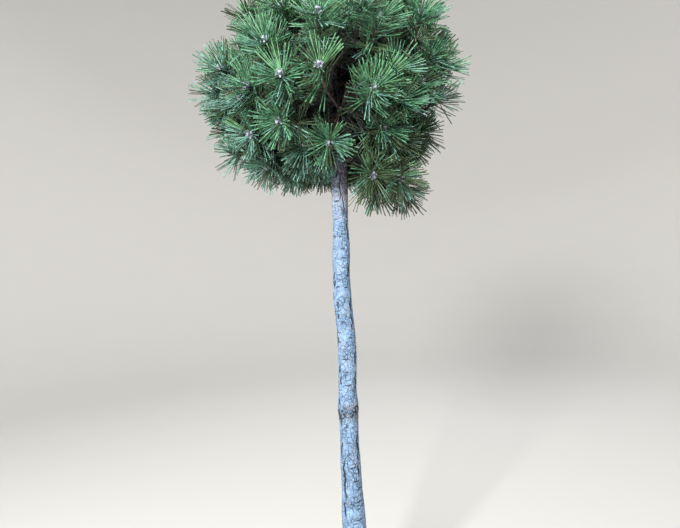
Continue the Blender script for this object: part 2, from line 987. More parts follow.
    def join_to_stem(self, bough: Bough) -> None:
        """Finds where each twig leaves the stem of a mass: the further from the axis, the sooner.

        Args:
            bough: the bough whose mass it is.
        """
        start = self.at(bough, bough.entry + self.clearance)
        mean = np.mean([(shoot.bud - self.fork) @ bough.axis for shoot in bough.shoots])
        bough.hub = self.at(bough, bough.entry + (mean - bough.entry) * self.hub_share)
        for shoot in bough.shoots:
            wide = math.acos(unit(shoot.foot - start) @ bough.axis) / math.radians(2 * self.half_deg)
            early = self.twig_spacing * wide + self.twig_stagger * chance(shoot.key, 7)
            share = max(self.twig_last - early, self.twig_first + self.twig_stagger * chance(shoot.key, 8))
            shoot.leaves = start + (bough.hub - start) * share


@dataclass(frozen=True)
class Mark:
    """A long mark in the bark: where its middle is, its half length and half width, and which way it runs."""

    azimuth: float
    height: float
    half: float
    width: float
    is_upright: bool


@dataclass
class Skin:
    """The trunk's surface as rings of corners from the ground up, and what its bark is like at each one."""

    rng: np.random.Generator
    # Azimuth in radians, height, and radius without the relief
    turn: np.ndarray
    height: np.ndarray
    base: np.ndarray
    # How far the bark stands out, how dark its cracks are, its plate's number, and how brown it is
    relief: np.ndarray = field(init=False)
    crack: np.ndarray = field(init=False)
    plate: np.ndarray = field(init=False)
    scar: np.ndarray = field(init=False)
    # A ripple is made of this many waves, and no more of them go round the trunk than fit into its girth
    layers: int = 9
    girth: float = 110

    def ripple(self, finest: float) -> np.ndarray:
        """Makes a smooth random wave over the surface that closes on itself round the trunk.

        Args:
            finest: the shortest wave, in millimetres.

        Returns:
            A number from about -1 to 1 for each corner.
        """
        total = np.zeros_like(self.turn)
        most = max(2, int(self.girth / finest))
        for _ in range(self.layers):
            turns = int(self.rng.integers(-most, most + 1))
            waves = self.rng.uniform(-1, 1) * WHOLE_TURN / finest
            total += np.cos(turns * self.turn + waves * self.height + self.rng.uniform(0, WHOLE_TURN))
        return total / math.sqrt(self.layers)


@dataclass
class TrunkBark:
    """The trunk with the relief of its bark: plates, cracks, long marks and the ring of an old whorl."""

    plan: Plan
    sides: int = 144
    ring_step: float = 1.45
    line_points: int = 400
    plate_width: float = 6.2
    plate_height: float = 6.0
    plate_reach: float = 20.0
    plate_level: float = 0.6
    plate_shoulder: float = 1.6
    cells_beyond: float = 20
    least_cells: int = 4
    cell_wander: tuple = (0.35, 0.45)
    warp: float = 2.6
    warp_wave: float = 18
    crack_half: float = 0.7
    crack_edge: float = 1.15
    crack_depth: float = 1.1
    # How dark cracks are: the middle value, the shares and waves of the ripples on it, and least and most
    patch_level: float = 0.45
    patches: tuple = ((0.3, 26), (0.2, 8))
    crack_shades: tuple = (0.1, 0.45)
    grain: float = 0.3
    grain_wave: float = 3.4
    swell: float = 0.5
    swell_wave: float = 60
    # The ring of the old whorl: where it is, how it waves and fades, and its grains
    scar_height: float = 362
    scar_half: float = 20.0
    scar_wave: float = 2
    scar_fade: float = 1.5
    scar_cell: float = 3.6
    scar_cells_half: float = 30
    scar_rows_half: float = 27
    scar_reach: float = 8
    scar_level: float = 0.8
    scar_groove: float = 0.5
    # How dark its grooves and some of its grains are, and which grains are dark or brown
    scar_edge: float = 1.2
    scar_edge_dark: float = 0.5
    scar_dark: float = 0.45
    scar_darkest: float = 0.85
    scar_dark_from: float = 0.72
    scar_brown: float = 0.55
    scar_brown_to: float = 0.4
    # The mauve patch: which way it faces, how wide and ragged it is, where it fades in, and how strong it is
    mauve_deg: float = 62
    mauve_wide: float = 1.25
    mauve_ragged: float = 0.5
    mauve_waves: tuple = (14, 20)
    mauve_from: float = 665
    mauve_fade: float = 40
    mauve_share: float = 0.85
    # Warm grey: in patches with a wave, a threshold and a most, and from one height up
    warm_wave: float = 22
    warm_over: float = 0.55
    warm_most: float = 0.3
    warm_from: float = 650
    warm_fade: float = 120
    warm_upper: float = 0.45
    # Upright fissures: azimuth from the front, middle height, half length and half width
    fissures: tuple = (
        (-43, 259, 32, 2.1), (-47, 214, 12, 1.8), (-63, 305, 12, 2.2), (-63, 432, 7, 2.6),
        (-46, 413, 7, 1.5), (-59, 380, 6, 2.4), (-65, 356, 16, 2.2), (47, 366, 6, 1.6),
        (59, 307, 22, 2.0), (54, 272, 10, 1.8), (62, 449, 11, 2.2), (57, 586, 11, 2.2),
        (62, 533, 12, 2.4), (51, 504, 13, 1.8), (-64, 578, 7, 2.4), (-57, 566, 5, 2.6),
        (-37, 532, 6, 1.4), (-40, 515, 4, 1.6), (4, 718, 22, 0.9), (-18, 742, 8, 1.3),
        (28, 690, 14, 0.9), (-66, 480, 14, 1.8), (66, 410, 14, 1.8), (60, 650, 16, 1.6),
    )
    # Level splits: azimuth, height, half length and half width
    splits: tuple = (
        (-28, 697, 6.5, 1.3), (-32, 722, 6, 0.9), (-35, 735, 4, 0.9), (20, 643, 5, 1.0), (-55, 641, 4, 1.0),
        (15, 620, 5, 1.0), (20, 606, 7, 1.0), (15, 591, 4, 0.9), (-8, 447, 7, 1.1), (-5, 426, 4, 1.0),
        (5, 406, 8, 1.0), (-5, 316, 5, 1.1), (5, 278, 6, 1.0), (30, 257, 7, 1.2), (50, 245, 5, 1.2),
        (32, 225, 9, 1.2), (30, 215, 5, 1.0), (25, 199, 10, 1.1), (-30, 560, 5, 1.0), (35, 560, 5, 1.0),
        (-10, 505, 6, 1.0), (30, 480, 5, 1.0), (-25, 340, 5, 1.0), (-38, 668, 5, 1.0),
    )
    # More of both, dealt over the back and, one in every few, in front near the ground
    more: int = 46
    front_deg: float = 78
    back_heights: tuple = (20, 780)
    foot_each: int = 4
    foot_degs: tuple = (-70, 70)
    foot_heights: tuple = (15, 160)
    fissure_halves: tuple = (8, 26)
    split_halves: tuple = (4, 8)
    more_width: float = 1.2
    # A mark's shape: how it waves as rows of height and length, how sharp its edge is, and how deep it is
    waves: tuple = ((1.1, 4.5), (0.6, 1.9))
    mark_edge: float = 1.4
    mark_depth: float = 1.7
    # How much less level splits wave, and how much less deep they are
    split_wave: float = 0.5
    split_depth: float = 0.75

    def cells(self, rng: np.random.Generator, low: float, high: float, width: float,
              tall: float) -> np.ndarray:
        """Deals the middles of plates over the bark, in staggered rows.

        Args:
            rng: the source of chance.
            low: the lowest row.
            high: the highest row.
            width: how wide a plate is.
            tall: how tall it is.

        Returns:
            Rows of turn in radians, height, and a number from 0 to 1 for the plate.
        """
        aside, up = self.cell_wander
        rows = []
        for height in np.arange(low, high, tall):
            girth = WHOLE_TURN * float(self.plan.trunk.radius(height))
            count = max(self.least_cells, round(girth / width))
            start = rng.random()
            for j in range(count):
                turn = (j + start + rng.uniform(-aside, aside)) / count
                middle = height + tall * rng.uniform(-up, up)
                rows.append((WHOLE_TURN * (turn % 1), middle, rng.random()))
        return np.array(rows)

    def nearest_cells(self, cells: np.ndarray, turn: np.ndarray, height: np.ndarray, radius: np.ndarray,
                      reach: float) -> tuple[np.ndarray, np.ndarray]:
        """Finds the plate that each corner is on, and how far it is from the plate's edge.

        Args:
            cells: the plates, as rows of turn, height and number.
            turn: the azimuths of rings of corners, in radians.
            height: their heights.
            radius: the trunk's radius there.
            reach: how far off a plate's middle may be.

        Returns:
            The distance to the edge, and the plate's number.
        """
        edge, number = np.zeros_like(turn), np.zeros_like(turn)
        for i in range(len(turn)):
            near = cells[np.abs(cells[:, 1] - height[i].mean()) < reach]
            across = half_turn(turn[i][:, None] - near[:, 0]) * radius[i][:, None]
            rise = height[i][:, None] - near[:, 1]
            squares = across**2 + rise**2
            order = np.argsort(squares, axis=1)[:, :2]
            rows = np.arange(len(turn[i]))
            first, second = order[:, 0], order[:, 1]
            gap_across = across[rows, first] - across[rows, second]
            gap_rise = rise[rows, first] - rise[rows, second]
            gap = np.hypot(gap_across, gap_rise) + TINY
            edge[i] = (squares[rows, second] - squares[rows, first]) / (2 * gap)
            number[i] = near[first, 2]
        return edge, number

    def lay_plates(self, skin: Skin) -> None:
        """Lays the plates with the cracks between them, the grain and slow swellings.

        Args:
            skin: the surface, which takes its relief, cracks and plates from here.
        """
        shift = self.warp * skin.ripple(self.warp_wave)
        lift = self.warp * skin.ripple(self.warp_wave)
        high = skin.height[-1, 0] + self.cells_beyond
        cells = self.cells(skin.rng, -self.cells_beyond, high, self.plate_width, self.plate_height)
        turn, height = skin.turn + shift / skin.base, skin.height + lift
        edge, skin.plate = self.nearest_cells(cells, turn, height, skin.base, self.plate_reach)
        patchy = sum((share * skin.ripple(wave) for share, wave in self.patches), self.patch_level)
        near_edge = np.clip(self.crack_edge - edge / self.crack_half, 0, 1)
        skin.crack = near_edge * np.clip(patchy, *self.crack_shades)
        level = self.plate_level * (skin.plate - 0.5) * np.clip(edge / self.plate_shoulder, 0, 1)
        skin.relief = level - self.crack_depth * skin.crack + self.grain * skin.ripple(self.grain_wave)
        skin.relief += self.swell * skin.ripple(self.swell_wave)

    def more_marks(self, rng: np.random.Generator) -> list[Mark]:
        """Deals upright and level marks over the sides that are not placed by hand.

        Args:
            rng: the source of chance.

        Returns:
            The marks.
        """
        dealt = []
        for number in range(self.more):
            azimuth = rng.uniform(self.front_deg, 360 - self.front_deg)
            height = rng.uniform(*self.back_heights)
            if number % self.foot_each == 0:
                azimuth = rng.uniform(*self.foot_degs)
                height = rng.uniform(*self.foot_heights)
            is_upright = bool(number % 2)
            half = rng.uniform(*(self.fissure_halves if is_upright else self.split_halves))
            dealt.append(Mark(azimuth, height, half, self.more_width, is_upright))
        return dealt

    def cut_marks(self, skin: Skin) -> None:
        """Cuts the upright fissures and the level splits into the bark.

        Args:
            skin: the surface.
        """
        placed = [Mark(*row, True) for row in self.fissures] + [Mark(*row, False) for row in self.splits]
        (high, long), (fine_high, fine_long) = self.waves
        for mark in placed + self.more_marks(skin.rng):
            around = half_turn(skin.turn - math.radians(mark.azimuth)) * skin.base
            rise = skin.height - mark.height
            run, off = (rise, around) if mark.is_upright else (around, rise)
            wave = high * np.sin(run / long + mark.azimuth)
            wave = wave + fine_high * np.sin(run / fine_long + mark.height)
            wave = wave * (1.0 if mark.is_upright else self.split_wave)
            ends = np.clip(1 - (run / mark.half) ** 2, 0, 1)
            depth = np.clip(self.mark_edge - np.abs(off - wave) / mark.width, 0, 1) * np.sqrt(ends)
            depth = depth * (1.0 if mark.is_upright else self.split_depth)
            skin.relief = skin.relief - self.mark_depth * depth * (depth > skin.crack)
            skin.crack = np.maximum(skin.crack, depth)

    def grain_scar(self, skin: Skin) -> None:
        """Roughens the ring of the old whorl with grains, some of them dark and some brown.

        Args:
            skin: the surface.
        """
        off = np.abs(skin.height - self.scar_height - self.scar_wave * np.sin(2 * skin.turn))
        rows = np.abs(skin.height[:, 0] - self.scar_height) < self.scar_rows_half
        share = np.clip(self.scar_fade - off / self.scar_half * self.scar_fade, 0, 1)[rows]
        low, high = self.scar_height - self.scar_cells_half, self.scar_height + self.scar_cells_half
        cells = self.cells(skin.rng, low, high, self.scar_cell, self.scar_cell)
        turn, height, base = skin.turn[rows], skin.height[rows], skin.base[rows]
        edge, grain = self.nearest_cells(cells, turn, height, base, self.scar_reach)
        raised = self.scar_level * (grain - 0.5) - self.scar_groove * np.clip(1 - edge, 0, 1)
        skin.relief[rows] += share * raised
        grooves = np.clip(self.scar_edge - edge, 0, 1) * self.scar_edge_dark
        dark = grooves + (grain > self.scar_dark_from) * self.scar_dark
        dark = np.clip(dark, 0, self.scar_darkest) * share
        skin.crack[rows] = np.maximum(skin.crack[rows], dark)
        skin.scar = np.zeros_like(skin.crack)
        skin.scar[rows] = share * (grain < self.scar_brown_to) * self.scar_brown

    def tints(self, skin: Skin) -> dict[str, np.ndarray]:
        """Works out where the bark is mauve and where it is warm grey.

        Args:
            skin: the surface.

        Returns:
            How much of each tint every corner has, by the tint's name.
        """
        wave, upper_wave = self.mauve_waves
        toward = np.cos(skin.turn - math.radians(self.mauve_deg))
        facing = np.clip(self.mauve_wide * toward + self.mauve_ragged * skin.ripple(wave), 0, 1)
        above = np.clip((skin.height - self.mauve_from) / self.mauve_fade + skin.ripple(upper_wave), 0, 1)
        patches = np.clip(skin.ripple(self.warm_wave) - self.warm_over, 0, self.warm_most)
        upper = np.clip((skin.height - self.warm_from) / self.warm_fade, 0, self.warm_upper)
        return {"mauve": facing * above * self.mauve_share, "warm": patches + upper}

    def build(self) -> bpy.types.Object:
        """Makes the trunk's mesh with its relief and the values that its finish reads.

        Returns:
            The piece.
        """
        shape, plan = self.plan.trunk, self.plan
        top = plan.at(plan.top, plan.top.entry)
        places = [np.array([x, y, z], float) for z, x, y in shape.line] + [top]
        line = smooth_route(places, self.line_points)
        heights = np.arange(0, top[2], self.ring_step)
        heights[-1] = top[2]
        turn, height = np.meshgrid(evenly_round(self.sides), heights)
        skin = Skin(np.random.default_rng(SEED), turn, height, shape.radius(height))
        self.lay_plates(skin)
        self.cut_marks(skin)
        self.grain_scar(skin)
        radius = skin.base + shape.flare(turn, height) + skin.relief
        middle = np.stack([np.interp(heights, line[:, 2], line[:, k]) for k in range(2)], axis=1)
        rings = np.stack([
            middle[:, 0, None] + radius * np.sin(turn),
            middle[:, 1, None] - radius * np.cos(turn),
            height,
        ], axis=-1)
        shell = Shell()
        shell.grid(rings)
        values = {"plate": skin.plate, "crack": skin.crack, "scar": skin.scar, **self.tints(skin)}
        values = {name: np.append(v.ravel(), [v[0].mean(), v[-1].mean()]) for name, v in values.items()}
        return shell.piece("trunk_bark", BarkFinish().material(), **values)


@dataclass
class Limbs:
    """The boughs from the trunk to their masses, each a tapering limb with a collar and flaking bark."""

    plan: Plan
    lowest: float = 776
    highest: float = 866
    from_deg: float = -40
    to_deg: float = 60
    stagger: float = 8
    level: float = 0.6
    leaving: float = 20
    straight: float = 42
    base: float = 4.1
    tip: float = 3.3
    collar: float = 3.4
    collar_length: float = 9
    sides: int = 14
    steps: int = 34
    roughness: float = 0.3
    finish: TwigFinish = TwigFinish("bough_bark", linear(52, 42, 38), linear(118, 106, 98), 300)

    def route(self, bough: Bough) -> np.ndarray:
        """Gives a bough's middle line.

        Args:
            bough: the bough.

        Returns:
            Its points, one a row.
        """
        share = (bough.elevation - self.from_deg) / (self.to_deg - self.from_deg)
        height = self.lowest + (self.highest - self.lowest) * share
        start = self.plan.trunk.middle(height + (self.stagger if bough.index % 2 else -self.stagger))
        out = start + direction(bough.azimuth, bough.elevation * self.level) * self.leaving
        places = [start, out, self.plan.at(bough, self.straight), self.plan.at(bough, bough.entry)]
        return smooth_route(places, self.steps)

    def build(self) -> bpy.types.Object:
        """Makes all boughs as one piece.

        Returns:
            The piece.
        """
        shell = Shell()
        for bough in self.plan.boughs[:-1]:
            rng = chances(Draws.BOUGH, bough.index)
            route = self.route(bough)
            run = np.linspace(0, 1, self.steps)
            away = np.linalg.norm(route - route[0], axis=1) - self.plan.trunk.radius(route[0, 2])
            collar = self.collar * np.exp(-np.maximum(0, away) / self.collar_length)
            radii = (self.base + (self.tip - self.base) * run + collar)[:, None]
            radii = radii + self.roughness * rng.normal(size=(self.steps, self.sides))
            shell.tube(route, radii, self.sides)
        return shell.piece("bough_bark", self.finish.material())


@dataclass
class Twigs:
    """Stems, twigs and shoots of every mass, carried on to finer side shoots."""

    plan: Plan
    stem_base: float = 3.3
    stem_tip: float = 2.4
    stem_points: int = 14
    stem_back: float = 2
    stem_arch: float = 0.6
    stem_keys: int = 5000
    twig_points: int = 16
    twig_bow: float = 3
    # Rows of share and radius along a twig with its shoot, and along a side shoot
    twig_radii: tuple = ((0, 1.9), (0.45, 1.9), (0.6, 2.3), (1, 1.9))
    side_radii: tuple = ((0, 1.3), (0.3, 1.7), (1, 1.5))
    sides: int = 8
    bump: float = 0.16
    # Side shoots: how far back they leave the twig, how they turn off it, and how long they are
    side_count: int = 2
    side_keys: int = 10
    side_points: int = 8
    side_sides: int = 6
    side_back: tuple = (0.05, 0.3)
    side_wander: float = 0.12
    side_off_deg: float = 46
    side_off_wander_deg: float = 10
    side_lift: float = 0.12
    side_length: float = 30
    side_lengths: tuple = (0.75, 1.1)
    side_cuts: tuple = (1.0, 0.7, 0.45)
    side_bare: float = 8
    side_overhang: float = 38
    side_clearance: float = 14
    finish: TwigFinish = TwigFinish("twig_bark", linear(46, 37, 38), linear(106, 90, 86), 420)
    side_shoots: list[Shoot] = field(default_factory=list)

    def deal_side_shoots(self) -> None:
        """Grows finer side shoots off every twig, within the head's reach."""
        for bough in self.plan.boughs:
            for shoot in bough.shoots:
                for j in range(self.side_count):
                    side = self.side_shoot(bough, shoot, j)
                    if side is not None:
                        self.side_shoots.append(side)

    def side_shoot(self, bough: Bough, shoot: Shoot, number: int) -> Shoot | None:
        """Makes one side shoot of a shoot, or of the twig behind it.

        Args:
            bough: the bough that carries them.
            shoot: the shoot.
            number: which of its side shoots.

        Returns:
            The side shoot, or None where it has no room.
        """
        rng = chances(Draws.SIDE_SHOOT, shoot.key, number)
        leaves = shoot.foot + (shoot.leaves - shoot.foot) * rng.uniform(*self.side_back)
        side, rise = side_vectors(shoot.points)
        turned = number / self.side_count + rng.uniform(-self.side_wander, self.side_wander)
        bearing = WHOLE_TURN * (turned + chance(shoot.key, 9))
        wander = rng.uniform(-self.side_off_wander_deg, self.side_off_wander_deg)
        off = math.radians(self.side_off_deg + wander)
        across = side * math.cos(bearing) + rise * math.sin(bearing)
        points = unit(shoot.points * math.cos(off) + across * math.sin(off) + UP * self.side_lift)
        length = self.side_length * rng.uniform(*self.side_lengths)
        foot = leaves + points * self.side_bare
        for share in self.side_cuts:
            bud = leaves + points * (length * share + self.side_bare)
            if self.has_room(bough, bud):
                key = shoot.key * self.side_keys + number
                return Shoot(key, leaves, foot, bud, Tone.DEEP, is_side=True)
        return None

    def has_room(self, bough: Bough, bud: np.ndarray) -> bool:
        """Tells whether a side shoot may end at a point.

        Args:
            bough: the bough that carries it.
            bud: the point.

        Returns:
            True where it may.
        """
        out = bud - self.plan.fork
        most = self.plan.head_reach(unit(out)) * bough.reach - self.side_overhang
        if np.linalg.norm(out) >= most or not self.plan.clear_of_trunk(bud, self.side_clearance):
            return False
        return not self.plan.is_opening(unit(out)) and not self.plan.in_gap(bud)

    def rough(self, key: int, radii: np.ndarray, sides: int) -> np.ndarray:
        """Gives a limb's radii the bumps that old needle bases leave.

        Args:
            key: the limb's number.
            radii: its radius at each point.
            sides: how many sides it has.

        Returns:
            The radius at each point and side.
        """
        rng = chances(Draws.BUMPS, key)
        return radii[:, None] + self.bump * rng.normal(size=(len(radii), sides))

    def build(self) -> bpy.types.Object:
        """Makes all stems, twigs and shoots as one piece.

        Returns:
            The piece.
        """
        shell = Shell()
        for bough in self.plan.boughs:
            start = self.plan.at(bough, bough.entry - self.stem_back)
            middle = (start + bough.hub) / 2 + UP * self.stem_arch
            stem = smooth_route([start, middle, bough.hub], self.stem_points)
            radii = np.linspace(self.stem_base, self.stem_tip, self.stem_points)
            shell.tube(stem, self.rough(bough.index + self.stem_keys, radii, self.sides), self.sides)
            for shoot in bough.shoots:
                sway = np.cross(shoot.points, bough.axis) * self.twig_bow * (chance(shoot.key, 10) - 0.5)
                middle = shoot.leaves + (shoot.foot - shoot.leaves) * 0.5 + sway
                route = smooth_route([shoot.leaves, middle, shoot.foot, shoot.bud], self.twig_points)
                radii = np.interp(np.linspace(0, 1, self.twig_points), *np.array(self.twig_radii).T)
                shell.tube(route, self.rough(shoot.key, radii, self.sides), self.sides)
        for shoot in self.side_shoots:
            middle = (shoot.foot + shoot.bud) / 2
            route = smooth_route([shoot.leaves, shoot.foot, middle, shoot.bud], self.side_points)
            radii = np.interp(np.linspace(0, 1, self.side_points), *np.array(self.side_radii).T)
            shell.tube(route, self.rough(shoot.key, radii, self.side_sides), self.side_sides)
        return shell.piece("twigs", self.finish.material())


@dataclass
class Sprays:
    """Points that each grow one thing: where it is rooted, which way it grows and leans, and its size."""

    roots: list[np.ndarray] = field(default_factory=list)
    grows: list[np.ndarray] = field(default_factory=list)
    leans: list[np.ndarray] = field(default_factory=list)
    sizes: list[np.ndarray] = field(default_factory=list)

    def add(self, roots: np.ndarray, grows: np.ndarray, leans: np.ndarray, sizes: np.ndarray) -> None:
        """Takes in some points.

        Args:
            roots: where they are, in millimetres.
            grows: unit vectors.
            leans: unit vectors.
            sizes: their sizes as shares of the full size.
        """
        for kept, new in zip((self.roots, self.grows, self.leans, self.sizes), (roots, grows, leans, sizes)):
            kept.append(new)

    def objects(self, name: str, most: int) -> list[bpy.types.Object]:
        """Makes meshes of loose points that hold these values.

        Args:
            name: the start of their names.
            most: how many points one may hold.

        Returns:
            The objects.
        """
        roots, grows, leans = (np.concatenate(v) for v in (self.roots, self.grows, self.leans))
        sizes = np.concatenate(self.sizes)
        parts = math.ceil(len(roots) / most)
        made = []
        for number, chosen in enumerate(np.array_split(np.arange(len(roots)), parts)):
            label = name if parts == 1 else f"{name}_{number + 1}"
            mesh = bpy.data.meshes.new(label)
            mesh.from_pydata(roots[chosen] * METRES, [], [])
            for key, kind, field_name, values in (
                ("grows", "FLOAT_VECTOR", "vector", grows),
                ("leans", "FLOAT_VECTOR", "vector", leans),
                ("size", "FLOAT", "value", sizes),
            ):
                attribute = mesh.attributes.new(key, kind, "POINT")
                attribute.data.foreach_set(field_name, values[chosen].astype(np.float32).ravel())
            made.append(bpy.data.objects.new(label, mesh))
            bpy.context.scene.collection.objects.link(made[-1])
        return made


def grown(points: bpy.types.Object, tree: bpy.types.NodeTree, sizes: dict[str, object]) -> bpy.types.Object:
    """Runs a geometry tree on a mesh of points and turns the result into a plain mesh.

    Args:
        points: the object with the points.
        tree: the tree.
        sizes: the tree's inputs by name.

    Returns:
        The object, with the plain mesh and no modifier.
    """
    modifier = points.modifiers.new("grow", "NODES")
    modifier.node_group = tree
    for item in tree.interface.items_tree:
        if item.in_out == "INPUT" and item.name in sizes:
            modifier[item.identifier] = sizes[item.name]
    graph = bpy.context.evaluated_depsgraph_get()
    mesh = bpy.data.meshes.new_from_object(points.evaluated_get(graph), depsgraph=graph)
    points.modifiers.remove(modifier)
    mesh.name = points.name
    points.data = mesh
    for name in ("grows", "leans", "size"):
        found = mesh.attributes.get(name)
        if found is not None:
            mesh.attributes.remove(found)
    return points


class SprayTree:
    """A geometry tree that grows one of several shapes on each point and makes the result real."""

    def __init__(self, name: str, sizes: list[str]) -> None:
        """Starts the tree and its inputs.

        Args:
            name: the tree's name.
            sizes: the names of its inputs for sizes.
        """
        self.tree = bpy.data.node_groups.new(name, "GeometryNodeTree")
        face = self.tree.interface
        face.new_socket("Geometry", in_out="OUTPUT", socket_type="NodeSocketGeometry")
        face.new_socket("Geometry", in_out="INPUT", socket_type="NodeSocketGeometry")
        for size in sizes:
            face.new_socket(size, in_out="INPUT", socket_type="NodeSocketFloat")
        face.new_socket("Seed", in_out="INPUT", socket_type="NodeSocketInt")
        face.new_socket("Finish", in_out="INPUT", socket_type="NodeSocketMaterial")
        self.bench = Bench(self.tree)
        self.inputs = self.bench.add("NodeGroupInput").outputs

    def vector(self, x: object = 0.0, y: object = 0.0, z: object = 0.0) -> bpy.types.NodeSocket:
        """Puts three numbers together."""
        return self.bench.add("ShaderNodeCombineXYZ", {0: x, 1: y, 2: z}).outputs[0]

    def swept(self, length: object, bend: object, steps: int, sides: int, radius: bpy.types.NodeSocket,
              width: object, thickness: object) -> bpy.types.NodeSocket:
        """Sweeps a flattened section along a bent line that stands on the point.

        Args:
            length: the line's length.
            bend: how far its end is bent aside.
            steps: how many points it has.
            sides: how many sides the section has.
            radius: the share of the section along the line.
            width: the section's width.
            thickness: its thickness.

        Returns:
            The closed mesh's output.
        """
        add = self.bench.add
        line = add("GeometryNodeCurvePrimitiveLine", {"End": self.vector(z=length)}).outputs[0]
        line = add("GeometryNodeResampleCurve", {"Curve": line, "Count": steps}).outputs[0]
        place = add("GeometryNodeSplineParameter").outputs["Factor"]
        aside = self.bench.product(self.bench.maths("POWER", place, 2.0), bend)
        line = add("GeometryNodeSetPosition", {"Geometry": line, "Offset": self.vector(x=aside)}).outputs[0]
        line = add("GeometryNodeSetCurveRadius", {"Curve": line, "Radius": radius}).outputs[0]
        ring = add("GeometryNodeCurvePrimitiveCircle", {"Resolution": sides, "Radius": 0.5}).outputs[0]
        section = self.vector(width, thickness, 1.0)
        ring = add("GeometryNodeTransform", {"Geometry": ring, "Scale": section}).outputs[0]
        feeds = {"Curve": line, "Profile Curve": ring, "Fill Caps": True}
        swept = add("GeometryNodeCurveToMesh", feeds).outputs[0]
        return add("GeometryNodeSetShadeSmooth", {"Geometry": swept}).outputs[0]

    def close(self, shapes: list[bpy.types.NodeSocket]) -> bpy.types.NodeTree:
        """Grows one of the shapes on each point, makes them real and gives them the finish.

        Args:
            shapes: the outputs of the shapes.

        Returns:
            The finished tree.
        """
        add = self.bench.add
        choices = add("GeometryNodeJoinGeometry")
        for shape in shapes:
            single = add("GeometryNodeGeometryToInstance", {0: shape}).outputs[0]
            self.tree.links.new(single, choices.inputs[0])
        grows, leans = (
            add("GeometryNodeInputNamedAttribute", {"Name": name}, data_type="FLOAT_VECTOR").outputs[0]
            for name in ("grows", "leans")
        )
        size = add("GeometryNodeInputNamedAttribute", {"Name": "size"}, data_type="FLOAT").outputs[0]
        axes = {"primary_axis": "Z", "secondary_axis": "X"}
        turned = add("FunctionNodeAxesToRotation", {0: grows, 1: leans}, **axes)
        # Inputs 4 and 5 are the least and the greatest whole number, and output 2 is the one that is drawn
        feeds = {"Seed": self.inputs["Seed"], 4: 0, 5: len(shapes) - 1}
        pick = add("FunctionNodeRandomValue", feeds, data_type="INT")
        feeds = {
            "Points": self.inputs["Geometry"], "Instance": choices.outputs[0], "Pick Instance": True,
            "Instance Index": pick.outputs[2], "Rotation": turned.outputs[0], "Scale": size,
        }
        grown_on = add("GeometryNodeInstanceOnPoints", feeds).outputs[0]
        real = add("GeometryNodeRealizeInstances", {0: grown_on}).outputs[0]
        feeds = {"Geometry": real, "Material": self.inputs["Finish"]}
        dressed = add("GeometryNodeSetMaterial", feeds).outputs[0]
        self.tree.links.new(dressed, self.bench.add("NodeGroupOutput").inputs[0])
        return self.tree


@dataclass(frozen=True)
class TonePair:
    """Two tones to deal from, and the draw at which the second begins."""

    first: Tone
    second: Tone
    change: float

    def of(self, draw: float) -> Tone:
        """Gives the tone for a draw from 0 to 1."""
        return self.first if draw < self.change else self.second


